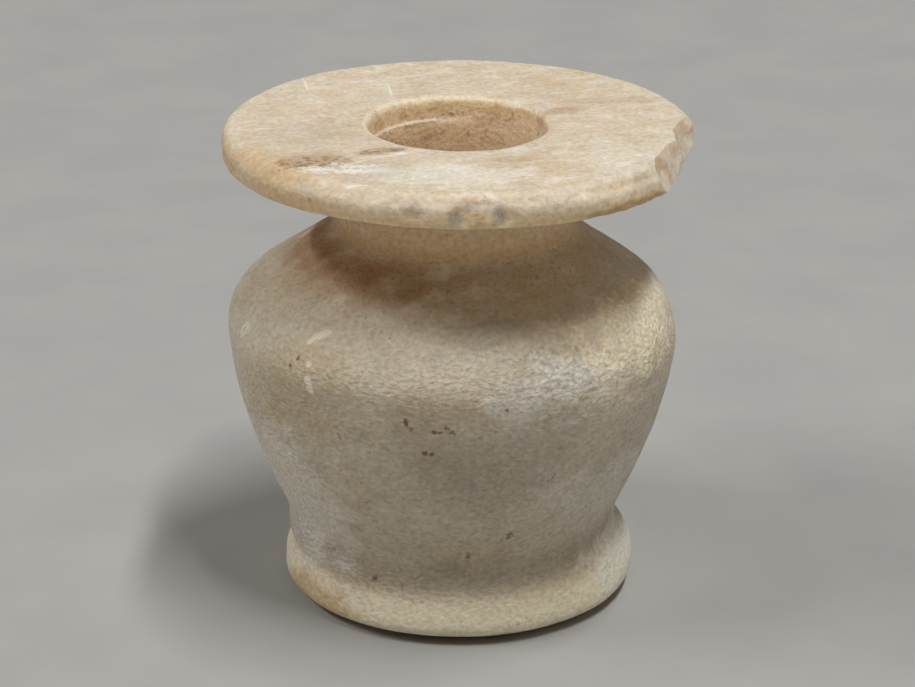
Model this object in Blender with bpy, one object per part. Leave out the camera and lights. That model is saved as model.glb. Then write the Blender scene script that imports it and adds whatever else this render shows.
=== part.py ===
"""Squat kohl pot, turned and drilled from one block of pale banded calcite.

A wide flat rim stands on a narrow neck. Below it a sloping shoulder turns over into a
body that tapers to a waist, and flares out again into a round-edged foot. A drilled bore runs
down the middle, with a shallow, slightly wider collar at the mouth. Flakes are struck
off the rim on the right, and a shallow one off its front edge.

Lengths are in metres and +Z is up. The pot stands on z = 0, with the Z axis through
the middle of the base. The worn right side of the rim is at +X, the front at -Y.
"""
import math

import bmesh
import bpy
from mathutils import Matrix, Vector

MM = 0.001

# Foot, a disc with a rounded lower edge, and the hollow flare that runs into it from the body
FOOT_THICKNESS = 3.0 * MM
FOOT_PROJECTION = 3.74 * MM
FOOT_UNDERCUT = 3.5 * MM
FOOT_UNDERCUT_RISE = 1.5 * MM
FOOT_TOP_ROUND = 3.0 * MM
FLARE_RISE = 6.5 * MM
FLARE_POWER = 2.0

# Body, from the top edge of the foot up to the widest place
BELLY_RADIUS = 21.1 * MM
BODY_TAPER = 8.04 * MM
BODY_RISE = 22.3 * MM
TAPER_POWER = 1.57

# Shoulder, a straight slope that turns over into the belly below and the neck above
SHOULDER_TURN_RISE = 3.4 * MM
SHOULDER_SLOPE_RISE = 7.0 * MM
SHOULDER_ROUND = 6.4 * MM
NECK_FOOT_FILLET = 3.0 * MM

# Neck and rim
NECK_WALL = 2.95 * MM
NECK_LENGTH = 6.6 * MM
RIM_RADIUS = 22.0 * MM
RIM_THICKNESS = 3.0 * MM
RIM_UNDERSIDE_FILLET = 2.0 * MM
RIM_LOWER_ROUND = 0.7 * MM
RIM_UPPER_ROUND = 1.3 * MM

# Bore, and the collar cut round its mouth
BORE_RADIUS = 7.95 * MM
BORE_CENTRE = 0.2 * MM
BORE_FLOOR_THICKNESS = 6.0 * MM
BORE_FLOOR_FILLET = 3.5 * MM
COLLAR_STEP = 0.3 * MM
COLLAR_DEPTH = 2.1 * MM
MOUTH_ROUND = 0.6 * MM
LEDGE_ROUND = 0.12 * MM

# Sideways wander of the hand-worked stone, as shares of the height and shifts in +X
WANDER = (
    (0.00, 0.35 * MM),
    (0.09, 0.52 * MM),
    (0.13, -0.20 * MM),
    (0.53, -0.16 * MM),
    (0.62, -0.44 * MM),
    (0.72, -0.33 * MM),
    (0.80, -0.05 * MM),
    (0.93, 0.43 * MM),
    (1.00, 0.43 * MM),
)

# Flakes lost from the rim, each the hollow left by a ball that bites into its edge:
# bearing from +X in degrees, ball radius, bite below the edge, ball centre above the rim's mid-height
RIM_FLAKES = (
    (-6.0, 12.0 * MM, 2.0 * MM, 4.1 * MM),
    (-14.0, 12.0 * MM, 1.4 * MM, 0.0),
    (-21.0, 12.0 * MM, 1.85 * MM, 4.1 * MM),
    (-28.5, 4.0 * MM, 1.7 * MM, 1.5 * MM),
    (-85.0, 6.0 * MM, 0.1 * MM, 3.2 * MM),
)

# Facets of the turned surface
TURN_STEPS = 72
UNDERCUT_STEPS = 5
FLARE_STEPS = 6
BODY_STEPS = 8
BALL_SUBDIVISIONS = 4
SHORTEST_FACET = 0.06 * MM

# Share of a straight run that the rounds at its two ends may use up
RUN_IN_USE = 0.98

# Worked out from the sizes above
BODY_FOOT_RADIUS = BELLY_RADIUS - BODY_TAPER
FOOT_RADIUS = BODY_FOOT_RADIUS + FOOT_PROJECTION
BELLY_HEIGHT = FOOT_THICKNESS + BODY_RISE
SHOULDER_TURN_HEIGHT = BELLY_HEIGHT + SHOULDER_TURN_RISE
NECK_FOOT_HEIGHT = SHOULDER_TURN_HEIGHT + SHOULDER_SLOPE_RISE
RIM_UNDERSIDE_HEIGHT = NECK_FOOT_HEIGHT + NECK_LENGTH
HEIGHT = RIM_UNDERSIDE_HEIGHT + RIM_THICKNESS
NECK_RADIUS = BORE_RADIUS + NECK_WALL
COLLAR_RADIUS = BORE_RADIUS + COLLAR_STEP
LEDGE_HEIGHT = HEIGHT - COLLAR_DEPTH


def clear_scene():
    """Remove every object, so that the file holds the pot alone."""
    for item in list(bpy.data.objects):
        bpy.data.objects.remove(item, do_unlink=True)


def stone():
    """Pale calcite, worn matt, with a little of its old polish."""
    material = bpy.data.materials.new("pale_calcite")
    material.use_nodes = True
    shader = material.node_tree.nodes["Principled BSDF"]
    shader.inputs["Base Color"].default_value = (0.58, 0.50, 0.38, 1.0)
    shader.inputs["Roughness"].default_value = 0.55
    shader.inputs["Metallic"].default_value = 0.0
    return material


def rounded_corner(before, corner, after, steps):
    """Points of the round at a corner, where all three are given as radius, height and round.

    Two rounds at the ends of one straight run share it by their sizes, so they never cross.
    """
    place = Vector(corner[:2])
    runs = [Vector(end[:2]) - place for end in (before, after)]
    shares = [corner[2] / (corner[2] + end[2]) for end in (before, after)]
    room = RUN_IN_USE * min(run.length * share for run, share in zip(runs, shares))
    back, ahead = [run.normalized() for run in runs]
    half_angle = back.angle(ahead) / 2
    reach = min(corner[2] / math.tan(half_angle), room)
    centre = place + (back + ahead).normalized() * (reach / math.cos(half_angle))
    first = (place + back * reach - centre).normalized()
    last = (place + ahead * reach - centre).normalized()
    arm = reach * math.tan(half_angle)
    return [centre + first.slerp(last, step / steps) * arm for step in range(steps + 1)]


def body_radius(height):
    """Radius below the widest place: the taper, and the flare that ends at the foot's edge."""
    drop = (BELLY_HEIGHT - height) / BODY_RISE
    taper = BODY_TAPER * max(drop, 0.0) ** TAPER_POWER
    climb = (height - FOOT_THICKNESS) / FLARE_RISE
    flare = FOOT_PROJECTION * max(1.0 - climb, 0.0) ** FLARE_POWER
    return BELLY_RADIUS - taper + flare


def body_outline():
    """Up the flare from just over the foot's edge, then up the tapering body."""
    flare_top = FOOT_THICKNESS + FLARE_RISE
    heights = [FOOT_THICKNESS + FLARE_RISE * step / FLARE_STEPS for step in range(1, FLARE_STEPS)]
    heights += [flare_top + (BELLY_HEIGHT - flare_top) * step / BODY_STEPS for step in range(BODY_STEPS)]
    return [Vector((body_radius(height), height)) for height in heights]


def foot_outline():
    """From the middle of the base, round the foot's lower edge and over its top edge."""
    base_radius = FOOT_RADIUS - FOOT_UNDERCUT
    points = [Vector((0.0, 0.0))]
    for step in range(UNDERCUT_STEPS + 1):
        angle = math.pi / 2 * step / UNDERCUT_STEPS
        radius = base_radius + FOOT_UNDERCUT * math.sin(angle)
        height = FOOT_UNDERCUT_RISE * (1.0 - math.cos(angle))
        points.append(Vector((radius, height)))
    edge = (FOOT_RADIUS, FOOT_UNDERCUT_RISE, 0.0)
    top = (FOOT_RADIUS, FOOT_THICKNESS, FOOT_TOP_ROUND)
    flare = (*body_outline()[0], 0.0)
    return points + rounded_corner(edge, top, flare, 3)


def top_outline():
    """Over the shoulder, up the neck, round the rim and down the bore to its floor."""
    corners = (
        (BELLY_RADIUS, BELLY_HEIGHT - SHOULDER_TURN_RISE, 0.0, 0),
        (BELLY_RADIUS, SHOULDER_TURN_HEIGHT, SHOULDER_ROUND, 6),
        (NECK_RADIUS, NECK_FOOT_HEIGHT, NECK_FOOT_FILLET, 4),
        (NECK_RADIUS, RIM_UNDERSIDE_HEIGHT, RIM_UNDERSIDE_FILLET, 4),
        (RIM_RADIUS, RIM_UNDERSIDE_HEIGHT, RIM_LOWER_ROUND, 3),
        (RIM_RADIUS, HEIGHT, RIM_UPPER_ROUND, 6),
        (COLLAR_RADIUS, HEIGHT, MOUTH_ROUND, 3),
        (COLLAR_RADIUS, LEDGE_HEIGHT, LEDGE_ROUND, 1),
        (BORE_RADIUS, LEDGE_HEIGHT, LEDGE_ROUND, 1),
        (BORE_RADIUS, BORE_FLOOR_THICKNESS, BORE_FLOOR_FILLET, 4),
        (0.0, BORE_FLOOR_THICKNESS, 0.0, 0),
    )
    points = []
    for before, corner, after in zip(corners, corners[1:], corners[2:]):
        points += rounded_corner(before, corner, after, corner[3])
    points.append(Vector(corners[-1][:2]))
    return points


def wander(height):
    """Sideways shift of the stone at a height, eased between the places in WANDER."""
    share = min(max(height / HEIGHT, 0.0), 1.0)
    for (low, shift_low), (high, shift_high) in zip(WANDER, WANDER[1:]):
        if share <= high:
            part = (share - low) / (high - low)
            ease = part * part * (3.0 - 2.0 * part)
            return shift_low + (shift_high - shift_low) * ease
    return WANDER[-1][1]


def is_hollowed(point):
    """True for the drilled surfaces: the mouth's lip, the collar, the bore and its floor."""
    radius = math.hypot(point.x, point.y)
    return radius < NECK_RADIUS - NECK_WALL / 4 and point.z > BORE_FLOOR_THICKNESS / 2


def turned_mesh():
    """Spin the whole outline about Z, then let the stone wander from true."""
    shape = bmesh.new()
    outline = foot_outline() + body_outline() + top_outline()
    dots = [shape.verts.new((place.x, 0.0, place.y)) for place in outline]
    for first, second in zip(dots, dots[1:]):
        shape.edges.new((first, second))
    bmesh.ops.remove_doubles(shape, verts=shape.verts, dist=SHORTEST_FACET)
    bmesh.ops.spin(
        shape,
        geom=shape.verts[:] + shape.edges[:],
        cent=(0.0, 0.0, 0.0),
        axis=(0.0, 0.0, 1.0),
        angle=2.0 * math.pi,
        steps=TURN_STEPS,
        use_merge=True,
    )
    bmesh.ops.remove_doubles(shape, verts=shape.verts, dist=1e-6)
    bmesh.ops.recalc_face_normals(shape, faces=shape.faces)
    for corner in shape.verts:
        corner.co.x += BORE_CENTRE if is_hollowed(corner.co) else wander(corner.co.z)
    mesh = bpy.data.meshes.new("kohl_pot")
    shape.to_mesh(mesh)
    shape.free()
    return mesh


def flake_ball(number, bearing, radius, bite, rise):
    """Ball that bites into the rim's edge and leaves the hollow of one lost flake."""
    shape = bmesh.new()
    bmesh.ops.create_icosphere(shape, subdivisions=BALL_SUBDIVISIONS, radius=radius)
    level = HEIGHT - RIM_THICKNESS / 2
    spread = math.sqrt(radius ** 2 - rise ** 2)
    distance = RIM_RADIUS - bite + spread
    turn = Matrix.Rotation(math.radians(bearing), 4, "Z")
    centre = turn @ Vector((distance, 0.0, 0.0)) + Vector((wander(level), 0.0, level + rise))
    bmesh.ops.translate(shape, verts=shape.verts, vec=centre)
    mesh = bpy.data.meshes.new(f"flake_{number}")
    shape.to_mesh(mesh)
    shape.free()
    ball = bpy.data.objects.new(f"flake_{number}", mesh)
    bpy.context.collection.objects.link(ball)
    ball.hide_render = True
    ball.display_type = "WIRE"
    return ball


def kohl_pot():
    """The whole pot, with the lost flakes cut from its rim."""
    mesh = turned_mesh()
    mesh.materials.append(stone())
    mesh.shade_smooth()
    mesh.set_sharp_from_angle(angle=math.radians(35.0))
    pot = bpy.data.objects.new("kohl_pot", mesh)
    bpy.context.collection.objects.link(pot)
    for number, flake in enumerate(RIM_FLAKES, start=1):
        cut = pot.modifiers.new(f"flake_{number}", "BOOLEAN")
        cut.operation = "DIFFERENCE"
        cut.solver = "EXACT"
        cut.object = flake_ball(number, *flake)
    return pot


clear_scene()
kohl_pot()
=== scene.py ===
import math

import bmesh
import bpy
from mathutils import Matrix, Vector, noise


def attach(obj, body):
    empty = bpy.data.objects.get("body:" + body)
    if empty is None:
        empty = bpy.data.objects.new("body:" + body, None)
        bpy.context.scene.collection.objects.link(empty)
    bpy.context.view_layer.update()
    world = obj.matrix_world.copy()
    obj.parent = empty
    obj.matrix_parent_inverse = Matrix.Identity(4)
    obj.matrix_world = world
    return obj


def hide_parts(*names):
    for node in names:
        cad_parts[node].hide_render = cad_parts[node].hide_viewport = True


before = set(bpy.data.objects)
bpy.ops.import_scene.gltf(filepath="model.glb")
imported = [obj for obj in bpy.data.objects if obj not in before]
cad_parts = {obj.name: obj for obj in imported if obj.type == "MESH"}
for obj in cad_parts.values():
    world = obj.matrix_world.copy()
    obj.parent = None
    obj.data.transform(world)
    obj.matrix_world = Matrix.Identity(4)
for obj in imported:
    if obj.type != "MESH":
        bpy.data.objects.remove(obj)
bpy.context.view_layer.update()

# The pot
# One block of pale calcite, turned and rubbed smooth outside, then drilled down the middle.
# Foot, body, shoulder, neck and rim are one surface, so a single outline is spun about the Z axis.
MM = 0.001

FOOT_THICKNESS = 3.0 * MM
FOOT_PROJECTION = 3.74 * MM
FOOT_UNDERCUT = 3.5 * MM
FOOT_UNDERCUT_RISE = 1.5 * MM
FOOT_TOP_ROUND = 3.0 * MM
FLARE_RISE = 6.5 * MM
FLARE_POWER = 2.0
BELLY_RADIUS = 21.1 * MM
BODY_TAPER = 8.04 * MM
BODY_RISE = 22.3 * MM
TAPER_POWER = 1.57
SHOULDER_TURN_RISE = 3.4 * MM
SHOULDER_SLOPE_RISE = 7.0 * MM
SHOULDER_ROUND = 6.4 * MM
NECK_FOOT_FILLET = 3.0 * MM
NECK_WALL = 2.95 * MM
NECK_LENGTH = 6.6 * MM
RIM_RADIUS = 22.0 * MM
RIM_THICKNESS = 3.0 * MM
RIM_UNDERSIDE_FILLET = 2.0 * MM
RIM_LOWER_ROUND = 0.7 * MM
RIM_UPPER_ROUND = 1.3 * MM
BORE_RADIUS = 7.95 * MM
BORE_CENTRE = 0.2 * MM
BORE_FLOOR_THICKNESS = 6.0 * MM
BORE_FLOOR_FILLET = 3.5 * MM
COLLAR_STEP = 0.3 * MM
COLLAR_DEPTH = 2.1 * MM
MOUTH_ROUND = 0.6 * MM
LEDGE_ROUND = 0.12 * MM

BODY_FOOT_RADIUS = BELLY_RADIUS - BODY_TAPER
FOOT_RADIUS = BODY_FOOT_RADIUS + FOOT_PROJECTION
BELLY_HEIGHT = FOOT_THICKNESS + BODY_RISE
SHOULDER_TURN_HEIGHT = BELLY_HEIGHT + SHOULDER_TURN_RISE
NECK_FOOT_HEIGHT = SHOULDER_TURN_HEIGHT + SHOULDER_SLOPE_RISE
RIM_UNDERSIDE_HEIGHT = NECK_FOOT_HEIGHT + NECK_LENGTH
HEIGHT = RIM_UNDERSIDE_HEIGHT + RIM_THICKNESS
NECK_RADIUS = BORE_RADIUS + NECK_WALL
COLLAR_RADIUS = BORE_RADIUS + COLLAR_STEP
LEDGE_HEIGHT = HEIGHT - COLLAR_DEPTH

# Sideways wander of the hand-worked stone, as shares of the height and shifts in +X
WANDER = (
    (0.00, 0.35 * MM),
    (0.09, 0.52 * MM),
    (0.13, -0.20 * MM),
    (0.53, -0.16 * MM),
    (0.62, -0.44 * MM),
    (0.72, -0.33 * MM),
    (0.80, -0.05 * MM),
    (0.93, 0.43 * MM),
    (1.00, 0.43 * MM),
)

# Steps of the turning, of a round and of the body's curve, which starts a little over the foot's edge;
# two rounds share the run between their corners and leave a little of it
TURN_STEPS = 376
ROUND_STEPS = 16
BODY_STEPS = 64
FLARE_START = FLARE_RISE / 6
RUN_IN_USE = 0.98

# Spacing of the rings, fine where the stone shows, and the gaps that are closed before and after the spin
MERGE_GAP = 0.05 * MM
SEAM_GAP = 0.001 * MM
UNDERSIDE_GAP = 2.4 * MM
SHOWN_GAP = 0.36 * MM
SHELTERED_GAP = 0.60 * MM
BORE_TOP_DEPTH = 9.0 * MM
BORE_TOP_GAP = 0.45 * MM
BORE_GAP = 1.5 * MM


def rounded_corner(before, corner, after):
    """Points of the round at a corner, where all three are given as radius, height and round."""
    place = Vector(corner[:2])
    runs = [Vector(end[:2]) - place for end in (before, after)]
    shares = [corner[2] / (corner[2] + end[2]) for end in (before, after)]
    room = RUN_IN_USE * min(run.length * share for run, share in zip(runs, shares))
    back, ahead = [run.normalized() for run in runs]
    half_angle = back.angle(ahead) / 2
    reach = min(corner[2] / math.tan(half_angle), room)
    centre = place + (back + ahead).normalized() * (reach / math.cos(half_angle))
    first = (place + back * reach - centre).normalized()
    last = (place + ahead * reach - centre).normalized()
    arm = reach * math.tan(half_angle)
    return [centre + first.slerp(last, step / ROUND_STEPS) * arm for step in range(ROUND_STEPS + 1)]


def body_radius(height):
    """Radius below the widest place: the taper, and the flare that ends at the foot's edge."""
    drop = (BELLY_HEIGHT - height) / BODY_RISE
    taper = BODY_TAPER * max(drop, 0.0) ** TAPER_POWER
    climb = (height - FOOT_THICKNESS) / FLARE_RISE
    flare = FOOT_PROJECTION * max(1.0 - climb, 0.0) ** FLARE_POWER
    return BELLY_RADIUS - taper + flare


def body_outline():
    """Up the flare from just over the foot's edge, then up the tapering body."""
    first = FOOT_THICKNESS + FLARE_START
    heights = [first + (BELLY_HEIGHT - first) * step / BODY_STEPS for step in range(BODY_STEPS)]
    return [Vector((body_radius(height), height)) for height in heights]


def foot_outline():
    """Round the foot's lower edge and over its top edge."""
    points = []
    for step in range(ROUND_STEPS + 1):
        angle = math.pi / 2 * step / ROUND_STEPS
        radius = FOOT_RADIUS - FOOT_UNDERCUT * (1.0 - math.sin(angle))
        height = FOOT_UNDERCUT_RISE * (1.0 - math.cos(angle))
        points.append(Vector((radius, height)))
    edge = (FOOT_RADIUS, FOOT_UNDERCUT_RISE, 0.0)
    top = (FOOT_RADIUS, FOOT_THICKNESS, FOOT_TOP_ROUND)
    flare = (*body_outline()[0], 0.0)
    return points + rounded_corner(edge, top, flare)


def spaced(points, gap):
    """The same line with its points moved to even steps of about one gap."""
    ends = [0.0]
    for first, second in zip(points, points[1:]):
        ends.append(ends[-1] + (second - first).length)
    count = max(1, round(ends[-1] / gap))
    line = []
    place = 0
    for step in range(count + 1):
        along = ends[-1] * step / count
        while place < len(points) - 2 and ends[place + 1] < along:
            place += 1
        share = (along - ends[place]) / max(ends[place + 1] - ends[place], 1e-12)
        line.append(points[place].lerp(points[place + 1], min(share, 1.0)))
    return line


def outside_outline():
    """The side of the pot from the ground up to the neck."""
    shoulder = rounded_corner(
        (BELLY_RADIUS, BELLY_HEIGHT - SHOULDER_TURN_RISE, 0.0),
        (BELLY_RADIUS, SHOULDER_TURN_HEIGHT, SHOULDER_ROUND),
        (NECK_RADIUS, NECK_FOOT_HEIGHT, NECK_FOOT_FILLET),
    )
    return foot_outline() + body_outline() + shoulder


def whole_outline():
    """From the middle of the base, up the outside, over the rim and down the bore to its floor."""
    corners = (
        (BELLY_RADIUS, SHOULDER_TURN_HEIGHT, SHOULDER_ROUND),
        (NECK_RADIUS, NECK_FOOT_HEIGHT, NECK_FOOT_FILLET),
        (NECK_RADIUS, RIM_UNDERSIDE_HEIGHT, RIM_UNDERSIDE_FILLET),
        (RIM_RADIUS, RIM_UNDERSIDE_HEIGHT, RIM_LOWER_ROUND),
        (RIM_RADIUS, HEIGHT, RIM_UPPER_ROUND),
        (COLLAR_RADIUS, HEIGHT, MOUTH_ROUND),
        (COLLAR_RADIUS, LEDGE_HEIGHT, LEDGE_ROUND),
        (BORE_RADIUS, LEDGE_HEIGHT, LEDGE_ROUND),
        (BORE_RADIUS, BORE_FLOOR_THICKNESS, BORE_FLOOR_FILLET),
        (0.0, BORE_FLOOR_THICKNESS, 0.0),
    )
    rounds = [rounded_corner(*three) for three in zip(corners, corners[1:], corners[2:])]
    under = [Vector((0.0, 0.0)), Vector((FOOT_RADIUS - FOOT_UNDERCUT, 0.0))]
    outside = outside_outline() + rounds[0]
    sheltered = [outside[-1]] + rounds[1] + rounds[2]
    rim = [sheltered[-1]] + rounds[3] + rounds[4] + rounds[5] + rounds[6]
    bore_top = [rim[-1], Vector((BORE_RADIUS, HEIGHT - BORE_TOP_DEPTH))]
    bore = [bore_top[-1]] + rounds[7] + [Vector((0.0, BORE_FLOOR_THICKNESS))]
    outline = spaced(under, UNDERSIDE_GAP)
    outline += spaced(outside, SHOWN_GAP)
    outline += spaced(sheltered, SHELTERED_GAP)
    outline += spaced(rim, SHOWN_GAP)
    outline += spaced(bore_top, BORE_TOP_GAP)
    outline += spaced(bore, BORE_GAP)
    return outline


def eased(value, start, end):
    """0 at the start, 1 at the end, and smooth between them."""
    share = min(max((value - start) / (end - start), 0.0), 1.0)
    return share * share * (3.0 - 2.0 * share)


def wander(height):
    """Sideways shift of the stone at a height, eased between the places in WANDER."""
    share = min(max(height / HEIGHT, 0.0), 1.0)
    for (low, shift_low), (high, shift_high) in zip(WANDER, WANDER[1:]):
        if share <= high:
            return shift_low + (shift_high - shift_low) * eased(share, low, high)
    return WANDER[-1][1]


def on_side(bearing, height):
    """Place on the side of the pot, at a bearing from +X in degrees and a height in mm."""
    level = height * MM
    outline = outside_outline() + [Vector((NECK_RADIUS, RIM_UNDERSIDE_HEIGHT))]
    outline += [Vector((RIM_RADIUS, RIM_UNDERSIDE_HEIGHT)), Vector((RIM_RADIUS, HEIGHT))]
    radius = next(
        low.x + (high.x - low.x) * (level - low.y) / max(high.y - low.y, 1e-9)
        for low, high in zip(outline, outline[1:]) if low.y <= level <= high.y
    )
    turn = math.radians(bearing)
    return Vector((radius * math.cos(turn) + wander(level), radius * math.sin(turn), level))


def is_hollowed(point):
    """True for the drilled surfaces: the mouth's lip, the collar, the bore and its floor."""
    radius = math.hypot(point.x, point.y)
    return radius < NECK_RADIUS - NECK_WALL / 4 and point.z > BORE_FLOOR_THICKNESS / 2


# Unevenness of the worked stone: size of the waves across, and how far they swell
SLOW_WAVE = (9.0 * MM, 0.12 * MM)
HAND_WAVE = (3.2 * MM, 0.05 * MM)
GRAIN_WAVE = (1.2 * MM, 0.03 * MM)
CRUST_WAVE = (1.5 * MM, 0.10 * MM)
CRYSTAL_WAVE = (1.2 * MM, 0.16 * MM)
EROSION_WAVE = (1.5 * MM, 0.30 * MM)
PIT_WAVE = (0.9 * MM, 0.12 * MM)

# The soft arris along the front of the belly, the rubbed top edge of the rim and the full edge of the
# foot; all three fade out from the front of the pot to its middle
FRONT_DEPTH = 14.0 * MM
ARRIS_HEIGHT = 26.9 * MM
ARRIS_SPREAD = 1.5 * MM
ARRIS_SWELL = 0.18 * MM
RIM_WEAR = 0.34 * MM
FOOT_EDGE_HEIGHT = 1.7 * MM
FOOT_EDGE_SPREAD = 0.9 * MM
FOOT_EDGE_SWELL = 0.28 * MM

# Waves and wear rise from nothing at the ground to their full depth at this height
SETTLED_HEIGHT = 1.5 * MM

# Crust in the bore: how deep it starts and is full, where it thickens from left to right, its share on
# the left, and the depths over which it runs from the collar's wall to the bore's
CRUST_TOP = 0.4 * MM
CRUST_FULL = 2.4 * MM
CRUST_LEFT = -4.0 * MM
CRUST_RIGHT = 3.0 * MM
CRUST_LEFT_SHARE = 0.35
SLOPE_TOP = 0.8 * MM
SLOPE_FOOT = 3.6 * MM

# Rough places: middle and reach, and the share of the reach within which a place is fully rough
FULL_REACH = 0.45
CRYSTAL_PLACES = (on_side(-57.0, 27.3), on_side(-28.0, 29.0))
CRYSTAL_REACH = 8.5 * MM
EROSION_PLACE = Vector((15.6, -15.8, 44.0)) * MM
EROSION_REACH = 6.5 * MM
PATCH_PLACE = Vector((-11.8, -12.0, 45.3)) * MM
PATCH_REACH = 6.0 * MM

# Small old chips along the front of the rim: bearing from +X, height in mm, reach and depth
EDGE_CHIPS = (
    (-101.0, 43.9, 1.3 * MM, 0.20 * MM),
    (-91.1, 43.6, 1.2 * MM, 0.42 * MM),
    (-86.2, 44.6, 2.0 * MM, 0.32 * MM),
    (-81.2, 43.6, 1.2 * MM, 0.42 * MM),
    (-55.0, 44.5, 2.0 * MM, 0.22 * MM),
    (-48.0, 44.2, 1.8 * MM, 0.24 * MM),
    (-41.5, 44.5, 1.8 * MM, 0.28 * MM),
)

CHIP_PLACES = [(on_side(bearing, level), reach, depth) for bearing, level, reach, depth in EDGE_CHIPS]


def swell(point, wave, seed):
    """Height of one layer of waves at a point."""
    size, height = wave
    return height * noise.noise(point / size + Vector((seed, 2.7 * seed, 5.1 * seed)))


def near(point, centre, reach):
    """1 close to a centre, fading to 0 at its reach."""
    return 1.0 - eased((point - centre).length, FULL_REACH * reach, reach)


def hollow_push(point):
    """Crust on the bore's wall, thickest on the right, where it buries the collar's ledge."""
    depth = HEIGHT - point.z
    right = eased(point.x, CRUST_LEFT, CRUST_RIGHT)
    crust = eased(depth, CRUST_TOP, CRUST_FULL) * (CRUST_LEFT_SHARE + (1.0 - CRUST_LEFT_SHARE) * right)
    push = crust * abs(swell(point, CRUST_WAVE, 3.0))
    radius = math.hypot(point.x, point.y)
    if radius > 0.9 * BORE_RADIUS and depth > MOUTH_ROUND:
        smooth_wall = COLLAR_RADIUS - COLLAR_STEP * eased(depth, SLOPE_TOP, SLOPE_FOOT)
        push += right * (radius - smooth_wall)
    return push


def side_push(point, normal):
    """Fine waves, full edges, wear, chips and rough places of the outer surface."""
    push = swell(point, GRAIN_WAVE, 4.0)
    frontness = eased(-point.y, 0.0, FRONT_DEPTH)
    push += ARRIS_SWELL * frontness * math.exp(-((point.z - ARRIS_HEIGHT) / ARRIS_SPREAD) ** 2)
    outward = (normal.x * point.x + normal.y * point.y) / max(math.hypot(point.x, point.y), MM)
    edge = 2.0 * max(outward, 0.0) * max(normal.z, 0.0) * eased(point.z, RIM_UNDERSIDE_HEIGHT, HEIGHT - MM)
    push -= RIM_WEAR * edge * frontness
    push += FOOT_EDGE_SWELL * frontness * math.exp(-((point.z - FOOT_EDGE_HEIGHT) / FOOT_EDGE_SPREAD) ** 2)
    if point.z > RIM_UNDERSIDE_HEIGHT:
        for centre, reach, depth in CHIP_PLACES:
            push -= depth * near(point, centre, reach)
    for centre in CRYSTAL_PLACES:
        push += near(point, centre, CRYSTAL_REACH) * swell(point, CRYSTAL_WAVE, 7.0)
    push -= near(point, EROSION_PLACE, EROSION_REACH) * abs(swell(point, EROSION_WAVE, 8.0))
    push -= near(point, PATCH_PLACE, PATCH_REACH) * abs(swell(point, PIT_WAVE, 9.0))
    return push * eased(point.z, 0.0, SETTLED_HEIGHT)


def turned_stone():
    """Spin the outline into a closed skin and let it wander and swell."""
    shape = bmesh.new()
    dots = [shape.verts.new((place.x, 0.0, place.y)) for place in whole_outline()]
    for first, second in zip(dots, dots[1:]):
        shape.edges.new((first, second))
    bmesh.ops.remove_doubles(shape, verts=shape.verts, dist=MERGE_GAP)
    bmesh.ops.spin(
        shape,
        geom=shape.verts[:] + shape.edges[:],
        cent=(0.0, 0.0, 0.0),
        axis=(0.0, 0.0, 1.0),
        angle=2.0 * math.pi,
        steps=TURN_STEPS,
        use_merge=True,
    )
    bmesh.ops.remove_doubles(shape, verts=shape.verts, dist=SEAM_GAP)
    bmesh.ops.recalc_face_normals(shape, faces=shape.faces)
    shape.normal_update()
    for corner in shape.verts:
        hollowed = is_hollowed(corner.co)
        aside = BORE_CENTRE if hollowed else wander(corner.co.z)
        push = hollow_push(corner.co) if hollowed else side_push(corner.co, corner.normal)
        settled = eased(corner.co.z, 0.0, SETTLED_HEIGHT)
        push += settled * (swell(corner.co, SLOW_WAVE, 1.0) + swell(corner.co, HAND_WAVE, 2.0))
        corner.co += corner.normal * push + Vector((aside, 0.0, 0.0))
    mesh = bpy.data.meshes.new("kohl_pot_stone")
    shape.to_mesh(mesh)
    shape.free()
    return mesh


# Flakes struck off the rim's right side, and one old chip at its front: bearing from +X in degrees,
# radius of the ball that leaves the hollow, bite below the edge, rise of the ball's centre over mid-rim
RIM_FLAKES = (
    (-6.0, 12.0 * MM, 2.0 * MM, 4.1 * MM),
    (-14.0, 12.0 * MM, 1.4 * MM, 0.0),
    (-21.0, 12.0 * MM, 1.85 * MM, 4.1 * MM),
    (-28.5, 4.0 * MM, 1.7 * MM, 1.5 * MM),
)
FRONT_CHIP = (-86.2, 6.0 * MM, 0.1 * MM, 3.2 * MM)
FLAKE_ROUNDS = 5
FLAKE_FACET = 0.35 * MM
FLAKE_REACH = 8.0 * MM
BREAK_WAVE = (1.6 * MM, 0.16 * MM)


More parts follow.
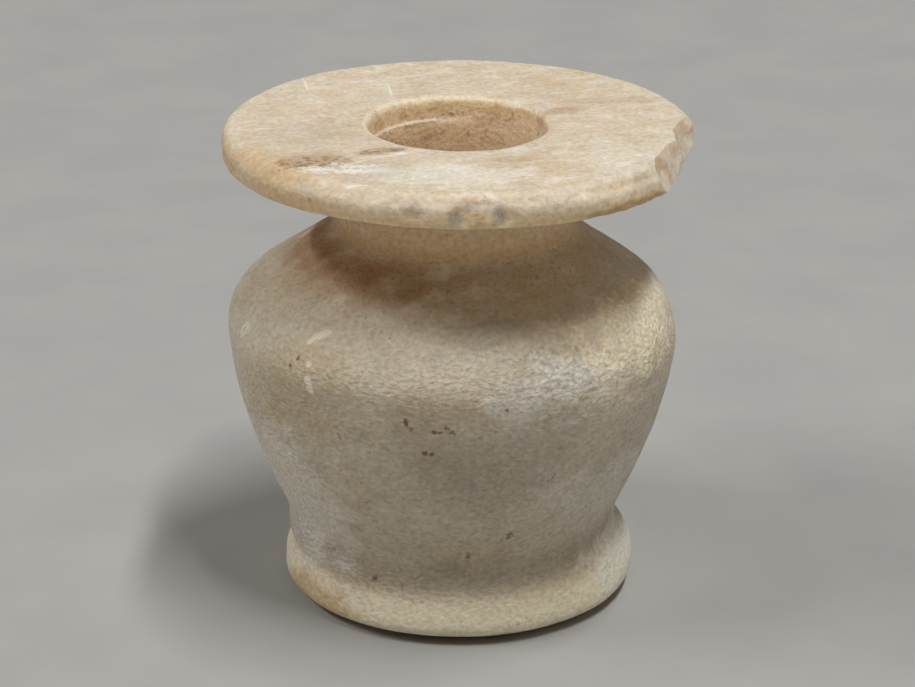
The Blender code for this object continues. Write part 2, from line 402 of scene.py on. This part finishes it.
def flake_ball(number, bearing, radius, bite, rise, finish):
    """Rough ball that bites into the rim's edge, fine only where it meets the stone."""
    level = HEIGHT - RIM_THICKNESS / 2
    spread = math.sqrt(radius ** 2 - rise ** 2)
    turn = Matrix.Rotation(math.radians(bearing), 4, "Z")
    aside = Vector((wander(level), 0.0, 0.0))
    centre = turn @ Vector((RIM_RADIUS - bite + spread, 0.0, 0.0)) + aside + Vector((0.0, 0.0, level + rise))
    bitten = turn @ Vector((RIM_RADIUS - bite, 0.0, 0.0)) + aside + Vector((0.0, 0.0, level))
    shape = bmesh.new()
    bmesh.ops.create_icosphere(shape, subdivisions=4, radius=radius)
    bmesh.ops.translate(shape, verts=shape.verts, vec=centre)
    for _ in range(FLAKE_ROUNDS):
        near_edges = [
            edge for edge in shape.edges
            if edge.calc_length() > FLAKE_FACET
            and min((end.co - bitten).length for end in edge.verts) < FLAKE_REACH
        ]
        if near_edges:
            bmesh.ops.subdivide_edges(shape, edges=near_edges, cuts=1, use_grid_fill=True)
    bmesh.ops.triangulate(shape, faces=shape.faces)
    for corner in shape.verts:
        out = (corner.co - centre).normalized()
        corner.co = centre + out * (radius + swell(corner.co, BREAK_WAVE, 6.0 + number))
    mesh = bpy.data.meshes.new(f"flake_{number}")
    shape.to_mesh(mesh)
    shape.free()
    mesh.materials.append(finish)
    ball = bpy.data.objects.new(f"flake_{number}", mesh)
    bpy.context.scene.collection.objects.link(ball)
    return ball


def linear(code):
    """Linear colour of an sRGB hex value."""
    parts = [int(code[place:place + 2], 16) / 255 for place in (1, 3, 5)]
    return (*[part / 12.92 if part <= 0.04045 else ((part + 0.055) / 1.055) ** 2.4 for part in parts], 1.0)


def add(tree, kind, inputs, **settings):
    """Add a node, set its properties, then set its inputs, linking a socket or a node's first output."""
    made = tree.nodes.new(kind)
    for name, value in settings.items():
        setattr(made, name, value)
    for place, value in inputs.items():
        if isinstance(value, bpy.types.Node):
            value = value.outputs[0]
        if isinstance(value, bpy.types.NodeSocket):
            tree.links.new(value, made.inputs[place])
        else:
            made.inputs[place].default_value = value
    return made


def pattern(tree, place, size, detail, turn=0.0):
    """Noise in patches of a size in mm along three axes, turned about Z."""
    moved = add(
        tree, "ShaderNodeMapping",
        {"Vector": place, "Rotation": (0.0, 0.0, math.radians(turn)), "Scale": Vector(size) * MM},
        vector_type="TEXTURE",
    )
    return add(tree, "ShaderNodeTexNoise", {"Vector": moved, "Scale": 1.0, "Detail": detail})


def masked(tree, value, start, end, strength=1.0, where=1.0):
    """0 up to the start, then smoothly up to the strength at the end, and only inside a place."""
    share = add(
        tree, "ShaderNodeMapRange",
        {"Value": value, "From Min": start, "From Max": end, "To Max": strength},
        interpolation_type="SMOOTHSTEP",
    )
    return add(tree, "ShaderNodeMath", {0: share, 1: where}, operation="MULTIPLY")


def band(tree, height, low, low_full, high_full, high, strength=1.0):
    """Full strength between two heights, fading smoothly to nothing below and above them."""
    below = masked(tree, height, high, high_full)
    return masked(tree, height, low, low_full, strength, below)


def roughened(tree, distance, roughness, amount, start, end, strength=1.0):
    """Mask of a mark whose edge the stone's own unevenness breaks up."""
    uneven = add(tree, "ShaderNodeMath", {0: roughness, 1: amount, 2: distance}, operation="MULTIPLY_ADD")
    return masked(tree, uneven, start, end, strength)


def nearest(tree, distances):
    """Least of several distances, so that many marks share one mask."""
    least = distances[0]
    for distance in distances[1:]:
        least = add(tree, "ShaderNodeMath", {0: least, 1: distance}, operation="MINIMUM")
    return least


def swung(tree, total, value, middle, gain, where):
    """A total with a value's swing about its middle added to it, inside one place."""
    swing = add(tree, "ShaderNodeMath", {0: value, 1: gain, 2: -middle * gain}, operation="MULTIPLY_ADD")
    return add(tree, "ShaderNodeMath", {0: swing, 1: where, 2: total}, operation="MULTIPLY_ADD")


def mark(tree, place, centre, half_size, tilt, bearing):
    """Distance from the middle of one oval mark, where 1 is its edge; turned in degrees."""
    turned = (0.0, math.radians(tilt), math.radians(bearing))
    local = add(
        tree, "ShaderNodeMapping",
        {"Vector": place, "Location": centre, "Rotation": turned, "Scale": Vector(half_size) * MM},
        vector_type="TEXTURE",
    )
    return add(tree, "ShaderNodeVectorMath", {0: local}, operation="LENGTH").outputs["Value"]


# Half depth in mm of a mark, enough for a small one to follow the curve of the surface
MARK_DEPTH = 1.6


def side_mark(tree, place, bearing, height, half_width, half_height, tilt, half_depth=MARK_DEPTH):
    """Oval mark on the side of the pot: its width runs along the surface, its height up and its depth in."""
    centre = on_side(bearing, height)
    return mark(tree, place, centre, (half_width, half_depth, half_height), tilt, bearing + 90.0)


def top_mark(tree, place, x, y, half_length, half_width, turn):
    """Oval mark on the top of the rim, lying at a turn from +X."""
    centre = Vector((x * MM, y * MM, HEIGHT))
    return mark(tree, place, centre, (half_length, half_width, MARK_DEPTH), 0.0, turn)


# Worn calcite: cream stone rubbed smooth and weathered matt, a little translucent at the thin rim,
# with brown soil held under the rim and in the bore, and paler crystals on the right shoulder;
# painted shade is laid into the colour under the rim, in the foot's crease, in the chips and in the grooves,
# and painted glow and highlights on the neck, the rim's lower edge, the bore, the foot's edge and the right
# shoulder
CREAM = linear("#e0d3bc")
CLEAN = linear("#dcccb3")
TAN = linear("#cdb083")
GOLD = linear("#c9a166")
HONEY_GLOW = linear("#efd2a2")
GREY = linear("#b1a898")
CHIP_DIRT_AND_SHADE = linear("#b0a899")
WHITE = linear("#f6f0e4")
BRIGHT = linear("#fff2dd")
PALE = linear("#ffebcc")
SOIL_AND_SHADE = linear("#a3713c")
SHADE_AND_GRIME = linear("#93826a")
CRUST_AND_GLOW = linear("#fae4c4")
STAIN = linear("#a88152")
SPECK = linear("#5c4128")
RUST = linear("#7e4f26")

# Broad stains, paler and darker patches and painted light and shade on the side: colour, strength, bearing,
# height, half width, half height, tilt, and a half depth for the wide ones
SIDE_STAINS_LIGHT_AND_SHADE = (
    (TAN, 0.36, -128.0, 27.0, 7.0, 4.5, 10.0),
    (TAN, 0.35, -140.0, 22.0, 8.0, 5.0, 0.0),
    (SHADE_AND_GRIME, 0.24, -80.0, 18.0, 13.0, 8.0, 0.0),
    # painted highlight on the lit top of the foot's edge at the left
    (WHITE, 0.28, -150.0, 6.4, 9.0, 2.4, 0.0),
    (GOLD, 0.65, -145.0, 2.0, 9.0, 1.5, 0.0),
    (GOLD, 0.55, -95.0, 0.3, 16.0, 0.8, 0.0),
    # paler on the belly's front right and the right shoulder: partly the pale crystals there, partly painted
    # highlight where the right lamp falls
    (WHITE, 0.62, -60.0, 27.0, 10.0, 3.0, -8.0),
    (PALE, 0.95, -30.0, 29.5, 9.0, 4.6, -10.0, 4.0),
    (WHITE, 0.45, -146.0, 13.0, 9.0, 9.0, 0.0, 6.0),
    # painted highlight on the right of the foot's edge
    (BRIGHT, 0.95, -14.0, 4.2, 10.0, 3.4, 0.0, 4.0),
    (WHITE, 0.40, -40.0, 13.0, 10.0, 8.0, 0.0),
    (GOLD, 0.24, -138.0, 43.6, 9.0, 2.0, 0.0),
    (GOLD, 0.40, -170.0, 43.4, 7.0, 1.6, 0.0),
    # old chips at the front of the rim: grey dirt and painted shade in their hollows, and a painted tan glow
    # in the middle of the broad one
    (SHADE_AND_GRIME, 0.45, -101.0, 43.9, 1.2, 0.5, 0.0),
    (CHIP_DIRT_AND_SHADE, 0.66, -91.1, 43.3, 0.7, 1.1, 0.0),
    (CHIP_DIRT_AND_SHADE, 0.55, -86.2, 44.3, 2.0, 0.5, 0.0),
    (TAN, 0.65, -86.2, 43.4, 1.2, 0.7, 0.0),
    (CHIP_DIRT_AND_SHADE, 0.66, -81.2, 43.3, 0.7, 0.9, 0.0),
    (STAIN, 0.62, -47.0, 42.6, 8.0, 0.6, 0.0),
    # painted shadow: the lowest tip of the rim's shadow on the front of the shoulder
    (SHADE_AND_GRIME, 0.34, -77.0, 31.6, 6.0, 1.8, -4.0),
    # soil and painted shade under the rim on the left
    (SOIL_AND_SHADE, 0.16, -144.0, 34.2, 4.0, 1.5, 10.0),
    (PALE, 0.50, -52.0, 44.3, 3.4, 0.9, 0.0),
)

# Broad stains on the rim's top: colour, strength, x, y, half length, half width, turn
TOP_STAINS = (
    (STAIN, 0.50, -12.6, -11.9, 4.0, 2.6, 20.0),
    (STAIN, 0.45, -6.6, -8.8, 2.6, 1.0, 16.0),
    (STAIN, 0.32, 5.2, -10.9, 2.6, 0.9, 12.0),
    (STAIN, 0.24, 15.0, 7.4, 6.0, 1.3, 10.0),
    (STAIN, 0.45, 9.6, 3.6, 2.6, 1.3, 20.0),
    (GOLD, 0.40, -17.0, -12.0, 8.0, 2.4, -50.0),
    (GREY, 0.30, -7.0, -14.5, 4.0, 2.6, 0.0),
    (GREY, 0.25, -14.0, -4.0, 5.0, 4.0, 0.0),
    (WHITE, 0.45, 0.5, -16.0, 7.0, 4.0, 0.0),
    (WHITE, 0.25, 14.0, -10.0, 5.0, 4.0, 0.0),
)

# Small dark specks of soil and rust on the side: bearing, height, half width, half height, tilt
DARK_SPECKS = (
    (-132.1, 36.4, 0.14, 0.20, 0.0),
    (-130.8, 28.1, 0.14, 0.14, 0.0),
    (-132.8, 27.3, 0.16, 0.12, 0.0),
    (-61.9, 28.3, 0.12, 0.12, 0.0),
    (-76.5, 25.3, 0.12, 0.18, 0.0),
    (-101.2, 23.9, 0.16, 0.30, 0.0),
    (-99.8, 23.4, 0.14, 0.16, 0.0),
    (-94.3, 23.2, 0.12, 0.12, 0.0),
    (-92.9, 23.2, 0.12, 0.12, 0.0),
    (-90.0, 23.3, 0.46, 0.15, 40.0),
    (-96.6, 21.0, 0.16, 0.13, 0.0),
    (-95.1, 21.0, 0.16, 0.13, 0.0),
    (-72.4, 11.0, 0.30, 0.28, 0.0),
    (-84.6, 8.8, 0.14, 0.22, 0.0),
    (-116.7, 5.7, 0.18, 0.18, 0.0),
)

# White flecks of old plaster on the left of the belly
WHITE_FLECKS = (
    (-127.2, 30.1, 0.95, 0.26, -26.0),
    (-129.2, 29.6, 0.50, 0.22, -40.0),
    (-127.0, 27.9, 0.28, 0.24, 0.0),
    (-126.9, 26.5, 0.30, 0.46, 0.0),
    (-126.2, 25.9, 0.34, 0.48, 0.0),
)
FLECK_RING = (-156.0, 28.0, 0.45, 0.60, 10.0)

# Pitted middles of the brown patch on the rim's top, and of the strand that runs on to the mouth
PITTED_MARKS = (
    (-12.8, -12.0, 3.8, 1.7, 20.0),
    (-6.6, -8.8, 2.4, 0.7, 16.0),
)

# The two fields of crystals on the right shoulder, as marks with a half depth, and the size of one crystal
CRYSTAL_MARKS = (
    (-57.0, 27.0, 8.0, 3.6, 0.0, 5.0),
    (-28.0, 29.0, 8.0, 5.0, 0.0, 5.0),
)
CRYSTAL_SIZE = 0.46 * MM

# White scratches on the rim's top: x, y, half length, half width, turn
TOP_SCRATCHES = (
    (-12.0, -14.2, 1.5, 0.85, -10.0),
    (-9.0, -14.6, 2.4, 0.62, 0.0),
    (-8.6, -13.4, 1.9, 0.34, 8.0),
    (-10.6, -12.4, 0.5, 0.40, 30.0),
    (-5.0, -9.6, 0.7, 0.34, 10.0),
    (-8.4, -18.4, 0.9, 0.22, 0.0),
    (-9.2, -12.6, 1.5, 0.16, 40.0),
    (-6.6, -10.4, 1.2, 0.20, 10.0),
    (-6.3, 10.2, 0.12, 1.9, 8.0),
    (-14.4, 11.6, 0.12, 1.6, 10.0),
)


# How far from its middle a patch starts and is full, as shares of its half size
BLOTCH_EDGE = 1.25
BLOTCH_FULL = 0.45


def toned(tree, colour, layers):
    """Lay tones over a colour one after another, each through its own mask."""
    for mask, tone in layers:
        colour = add(tree, "ShaderNodeMix", {0: mask, 6: colour, 7: tone}, data_type="RGBA").outputs[2]
    return colour


def blotched(tree, place, colour, blotches, marker, breakup):
    """Lay broad soft patches over a colour, broken up by the stone's mottling."""
    layers = []
    for tone, strength, *shape in blotches:
        distance = marker(tree, place, *shape)
        layers.append((roughened(tree, distance, breakup, 1.0, BLOTCH_EDGE, BLOTCH_FULL, strength), tone))
    return toned(tree, colour, layers)


def calcite(name, roughness):
    """Material with the shine and the slight translucence that worn and broken stone share."""
    material = bpy.data.materials.new(name)
    material.use_nodes = True
    shader = material.node_tree.nodes["Principled BSDF"]
    shader.inputs["Roughness"].default_value = roughness
    shader.inputs["IOR"].default_value = 1.5
    shader.inputs["Subsurface Weight"].default_value = 0.5
    shader.inputs["Subsurface Radius"].default_value = (1.0, 0.70, 0.40)
    shader.inputs["Subsurface Scale"].default_value = 4.5 * MM
    return material, material.node_tree, shader


def worn_calcite():
    """The stone's old, handled surface."""
    material, tree, shader = calcite("worn_calcite", 0.55)
    place = add(tree, "ShaderNodeTexCoord", {}).outputs["Object"]
    split = add(tree, "ShaderNodeSeparateXYZ", {0: place})
    flat = add(tree, "ShaderNodeCombineXYZ", {0: split.outputs[0], 1: split.outputs[1]})
    radius = add(tree, "ShaderNodeVectorMath", {0: flat}, operation="LENGTH").outputs["Value"]
    height = split.outputs[2]

    clouds = pattern(tree, place, (9.0, 9.0, 6.0), 2.0)
    mottle = pattern(tree, place, (2.4, 2.4, 1.7), 3.0)
    grain = pattern(tree, place, (0.50, 0.50, 0.42), 2.0)
    bands = pattern(tree, place, (2.8, 1.5, 2.8), 4.0, turn=26.0)
    wrinkles = pattern(tree, place, (0.54, 0.54, 0.36), 3.0)
    dots = pattern(tree, place, (0.55, 0.55, 0.55), 1.0)
    lumps = add(tree, "ShaderNodeTexVoronoi", {"Vector": place, "Scale": 1.0 / CRYSTAL_SIZE})
    breakup = add(tree, "ShaderNodeMath", {0: mottle, 1: 1.8, 2: -0.9}, operation="MULTIPLY_ADD")
    ragged = add(tree, "ShaderNodeMath", {0: grain, 1: 2.4, 2: -1.2}, operation="MULTIPLY_ADD")

    on_top = masked(tree, height, HEIGHT - 1.2 * MM, HEIGHT - 0.3 * MM)
    under_rim = band(
        tree, height,
        NECK_FOOT_HEIGHT - 4.6 * MM, NECK_FOOT_HEIGHT - 2.0 * MM,
        NECK_FOOT_HEIGHT - 1.4 * MM, NECK_FOOT_HEIGHT + 1.6 * MM,
    )
    # Painted shade: the colour is darkened in the crease between the body and the foot
    foot_crease_shade = band(
        tree, height,
        FOOT_THICKNESS + 0.8 * MM, FOOT_THICKNESS + 2.6 * MM,
        FOOT_THICKNESS + 3.2 * MM, FOOT_THICKNESS + 6.6 * MM, 0.38,
    )
    # Painted glow: the neck under the rim and the lower edge of the rim's side are tinted warm and light, as
    # by light through the thin rim
    neck = band(
        tree, height,
        NECK_FOOT_HEIGHT - 1.2 * MM, NECK_FOOT_HEIGHT + 0.8 * MM,
        RIM_UNDERSIDE_HEIGHT - 0.6 * MM, RIM_UNDERSIDE_HEIGHT + 0.2 * MM, 0.65,
    )
    rim_side_glow = band(
        tree, height,
        RIM_UNDERSIDE_HEIGHT - 0.6 * MM, RIM_UNDERSIDE_HEIGHT,
        RIM_UNDERSIDE_HEIGHT + 0.2 * MM, RIM_UNDERSIDE_HEIGHT + 1.7 * MM, 0.75,
    )
    off_floor = masked(tree, height, 1.0 * MM, 2.0 * MM)
    bore = masked(tree, radius, COLLAR_RADIUS + 0.6 * MM, COLLAR_RADIUS + 0.1 * MM, where=off_floor)
    crystals = nearest(tree, [side_mark(tree, place, *shape) for shape in CRYSTAL_MARKS])
    crystals = roughened(tree, crystals, breakup, 1.0, 1.2, 0.5)

    # The skin's fine wrinkles are strongest on the body, faint on the foot and gone from the neck
    skin = add(
        tree, "ShaderNodeMapRange",
        {"Value": height, "From Min": BELLY_HEIGHT + 4.0 * MM, "From Max": BELLY_HEIGHT - 2.0 * MM,
         "To Min": 0.50, "To Max": 1.0},
    )
    off_foot = add(
        tree, "ShaderNodeMapRange",
        {"Value": height, "From Min": FOOT_THICKNESS, "From Max": FOOT_THICKNESS + 4.0 * MM,
         "To Min": 0.35, "To Max": 1.0},
    )
    skin = add(tree, "ShaderNodeMath", {0: skin, 1: off_foot}, operation="MULTIPLY")
    skin = masked(tree, height, NECK_FOOT_HEIGHT + 1.0 * MM, NECK_FOOT_HEIGHT, where=skin)

    # Soil and painted shade lie thickest on the left of the shoulder, under the rim, where the rim's shadow
    # is darkest
    soil_and_shade = add(
        tree, "ShaderNodeMapRange",
        {"Value": split.outputs[0], "From Min": -7.0 * MM, "From Max": 9.0 * MM,
         "To Min": 0.74, "To Max": 0.12},
    )
    soil_and_shade = add(tree, "ShaderNodeMath", {0: soil_and_shade, 1: under_rim}, operation="MULTIPLY")

    colour = toned(tree, CREAM, (
        (masked(tree, height, NECK_FOOT_HEIGHT, HEIGHT), CLEAN),
        (masked(tree, clouds, 0.46, 0.70, 0.34), TAN),
        (masked(tree, mottle, 0.50, 0.72, 0.25), GREY),
        (masked(tree, mottle, 0.46, 0.26, 0.28), WHITE),
        (masked(tree, bands, 0.50, 0.70, 0.34, on_top), TAN),
        (masked(tree, bands, 0.47, 0.32, 0.30, on_top), WHITE),
        # brown soil under the rim, with painted shade where the rim's shadow lies
        (masked(tree, mottle, 0.15, 0.60, where=soil_and_shade), SOIL_AND_SHADE),
        # painted highlight: the foot's edge is paler where the light falls on it
        (masked(tree, height, FOOT_THICKNESS + 3.6 * MM, FOOT_THICKNESS - 0.4 * MM, 0.95), PALE),
        # painted shade in the crease over the foot
        (foot_crease_shade, SHADE_AND_GRIME),
        # painted glow on the neck and on the lower edge of the rim's side
        (neck, HONEY_GLOW),
        (rim_side_glow, HONEY_GLOW),
        # the bore's crust, painted pale with the glow of light inside the mouth
        (bore, CRUST_AND_GLOW),
    ))
    colour = blotched(tree, place, colour, SIDE_STAINS_LIGHT_AND_SHADE, side_mark, breakup)
    colour = blotched(tree, place, colour, TOP_STAINS, top_mark, breakup)

    dark = nearest(tree, [side_mark(tree, place, *speck) for speck in DARK_SPECKS])
    white = nearest(tree, [side_mark(tree, place, *fleck) for fleck in WHITE_FLECKS])
    scratch = nearest(tree, [top_mark(tree, place, *line) for line in TOP_SCRATCHES])
    patch = nearest(tree, [top_mark(tree, place, *shape) for shape in PITTED_MARKS])
    patch = masked(tree, dots, 0.50, 0.64, where=masked(tree, patch, 1.3, 0.5))

    # The ring-shaped fleck: least where the distance from its middle is nearly its half size
    ring = add(
        tree, "ShaderNodeMath", {0: side_mark(tree, place, *FLECK_RING), 1: 0.9}, operation="SUBTRACT"
    )
    ring = add(tree, "ShaderNodeMath", {0: ring, 1: ring}, operation="MULTIPLY")
    ring = add(tree, "ShaderNodeMath", {0: ring, 1: 6.0, 2: 0.3}, operation="MULTIPLY_ADD")
    white = nearest(tree, [white, ring])

    colour = toned(tree, colour, (
        (masked(tree, mottle, 0.48, 0.66, 0.24, bore), STAIN),
        (masked(tree, dots, 0.52, 0.68, 0.22, bore), STAIN),
        (masked(tree, mottle, 0.42, 0.28, 0.40, bore), CLEAN),
        (masked(tree, grain, 0.58, 0.72, 0.42, bore), SPECK),
        (add(tree, "ShaderNodeMath", {0: patch, 1: 0.42}, operation="MULTIPLY"), SPECK),
        (masked(tree, grain, 0.57, 0.70, 0.42, under_rim), SPECK),
        (masked(tree, dots, 0.70, 0.76, 0.35), SOIL_AND_SHADE),
        (roughened(tree, dark, ragged, 2.0, 2.2, 0.3, 0.8), RUST),
        (roughened(tree, white, ragged, 1.0, 1.25, 0.95), BRIGHT),
        (roughened(tree, scratch, ragged, 2.0, 1.4, 0.4, 0.95), WHITE),
    ))
    # Painted shade: the colour is darkened in the grooves of the grain, the wrinkles and between the
    # crystals, following the same patterns as the relief
    shade = add(
        tree, "ShaderNodeMapRange",
        {"Value": grain, "From Min": 0.3, "From Max": 0.7, "To Min": 0.87, "To Max": 1.13},
    )
    shade = swung(tree, shade, wrinkles, 0.5, 0.46, skin)
    shade = swung(tree, shade, lumps, 0.52, -0.40, crystals)
    tinted = add(tree, "ShaderNodeVectorMath", {0: colour, 1: shade}, operation="MULTIPLY")
    tree.links.new(tinted.outputs[0], shader.inputs["Base Color"])

    # Relief in millimetres
    relief = 0.0
    for rise, depth, where in (
        (grain, 0.12, 1.0),
        (wrinkles, 0.62, skin),
        (lumps, -0.17, crystals),
        (dots, 0.08, bore),
        (patch, -0.30, on_top),
    ):
        relief = swung(tree, relief, rise, 0.0, depth, where)
    bump = add(tree, "ShaderNodeBump", {"Height": relief, "Distance": MM})
    tree.links.new(bump.outputs[0], shader.inputs["Normal"])
    return material


# Broken calcite: the struck faces at the rim's edge, rough and sugary, pinkish tan with pale ridges
def broken_calcite():
    """The struck faces, which have never been rubbed smooth."""
    material, tree, shader = calcite("broken_calcite", 0.6)
    place = add(tree, "ShaderNodeTexCoord", {}).outputs["Object"]
    facets = pattern(tree, place, (1.8, 1.8, 1.4), 3.0)
    grain = pattern(tree, place, (0.40, 0.40, 0.40), 2.0)
    tone = add(tree, "ShaderNodeValToRGB", {0: facets})
    for number, (where, code) in enumerate(((0.34, "#d6bea4"), (0.50, "#e4ceb5"), (0.66, "#f1e2cf"))):
        stop = tone.color_ramp.elements[number] if number < 2 else tone.color_ramp.elements.new(where)
        stop.position = where
        stop.color = linear(code)
    light = add(tree, "ShaderNodeMapRange", {"Value": grain, "To Min": 0.90, "To Max": 1.10})
    tinted = add(tree, "ShaderNodeVectorMath", {0: tone, 1: light}, operation="MULTIPLY")
    tree.links.new(tinted.outputs[0], shader.inputs["Base Color"])
    bump = add(tree, "ShaderNodeBump", {"Height": grain, "Distance": 0.16 * MM})
    tree.links.new(bump.outputs[0], shader.inputs["Normal"])
    return material


def chipped(pot, worn, broken):
    """Cut every flake from the rim and keep the cut mesh."""
    balls = [flake_ball(number, *flake, broken) for number, flake in enumerate(RIM_FLAKES)]
    balls.append(flake_ball(len(balls), *FRONT_CHIP, worn))
    for ball in balls:
        cut = pot.modifiers.new(ball.name, "BOOLEAN")
        cut.operation = "DIFFERENCE"
        cut.solver = "MANIFOLD"
        cut.material_mode = "TRANSFER"
        cut.object = ball
    whole = pot.evaluated_get(bpy.context.evaluated_depsgraph_get())
    mesh = bpy.data.meshes.new_from_object(whole)
    pot.modifiers.clear()
    pot.data = mesh
    for ball in balls:
        bpy.data.objects.remove(ball, do_unlink=True)


stone = turned_stone()
worn = worn_calcite()
stone.materials.append(worn)
pot = bpy.data.objects.new("kohl_pot_stone", stone)
bpy.context.scene.collection.objects.link(pot)
chipped(pot, worn, broken_calcite())
pot.data.shade_smooth()
pot.data.set_sharp_from_angle(angle=math.radians(50.0))
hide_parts("kohl_pot")
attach(pot, "root")

# The floor
# A pale grey sheet of card, laid flat and running back out of view, matt and very slightly mottled.
FLOOR_SIZE = 4.0
FLOOR_DROP = 0.03 * MM
CARD_DARK = linear("#a7a6a3")
CARD_PALE = linear("#acaba7")

shape = bmesh.new()
bmesh.ops.create_grid(shape, x_segments=1, y_segments=1, size=FLOOR_SIZE / 2)
bmesh.ops.translate(shape, verts=shape.verts, vec=(0.0, 0.0, -FLOOR_DROP))
sheet = bpy.data.meshes.new("floor")
shape.to_mesh(sheet)
shape.free()
floor = bpy.data.objects.new("floor", sheet)
bpy.context.scene.collection.objects.link(floor)

card = bpy.data.materials.new("grey_card")
card.use_nodes = True
card_tree = card.node_tree
card_shader = card_tree.nodes["Principled BSDF"]
card_place = add(card_tree, "ShaderNodeTexCoord", {}).outputs["Object"]
card_mix = add(
    card_tree, "ShaderNodeMix",
    {
        0: masked(card_tree, pattern(card_tree, card_place, (14.0, 14.0, 14.0), 4.0), 0.3, 0.7),
        6: CARD_DARK,
        7: CARD_PALE,
    },
    data_type="RGBA",
)
card_tree.links.new(card_mix.outputs[2], card_shader.inputs["Base Color"])
card_shader.inputs["Roughness"].default_value = 0.9
sheet.materials.append(card)

# The light
# Two long ceiling panels side by side, running from the front to the back, the nearer one just to the
# right, and an even grey room around them.
CEILING = 2.0
PANEL_WIDTH = 0.13
WATTS_PER_METRE = 26.3
ROOM_GREY = linear("#fffdf9")
ROOM_STRENGTH = 0.15


def panel(name, aside, forward, length):
    """Long soft panel in the ceiling, facing straight down."""
    light = bpy.data.lights.new(name, "AREA")
    light.shape = "RECTANGLE"
    light.size = PANEL_WIDTH
    light.size_y = length
    light.energy = WATTS_PER_METRE * length
    item = bpy.data.objects.new(name, light)
    item.location = (aside, -forward, CEILING)
    bpy.context.scene.collection.objects.link(item)


panel("right_panel", 0.41, 0.35, 1.13)
panel("left_panel", -1.76, 0.30, 1.03)

room = bpy.data.worlds.new("room")
room.use_nodes = True
room.node_tree.nodes["Background"].inputs["Color"].default_value = ROOM_GREY
room.node_tree.nodes["Background"].inputs["Strength"].default_value = ROOM_STRENGTH
bpy.context.scene.world = room
bpy.context.scene.view_settings.view_transform = "Standard"

# The camera
# A long lens a little above the pot, looking down at it from the front.
CAMERA_PLACE = Vector((0.27, -242.6, 119.8)) * MM
CAMERA_DIP = math.radians(21.67)
CAMERA_ROLL = math.radians(0.33)
LENS = 108.2
SENSOR = 36.0

view = bpy.data.cameras.new("camera")
view.lens = LENS
view.sensor_width = SENSOR
view.clip_start = 0.01
camera = bpy.data.objects.new("camera", view)
camera.matrix_world = (
    Matrix.Translation(CAMERA_PLACE)
    @ Matrix.Rotation(math.pi / 2 - CAMERA_DIP, 4, "X")
    @ Matrix.Rotation(CAMERA_ROLL, 4, "Z")
)
bpy.context.scene.collection.objects.link(camera)
bpy.context.scene.camera = camera
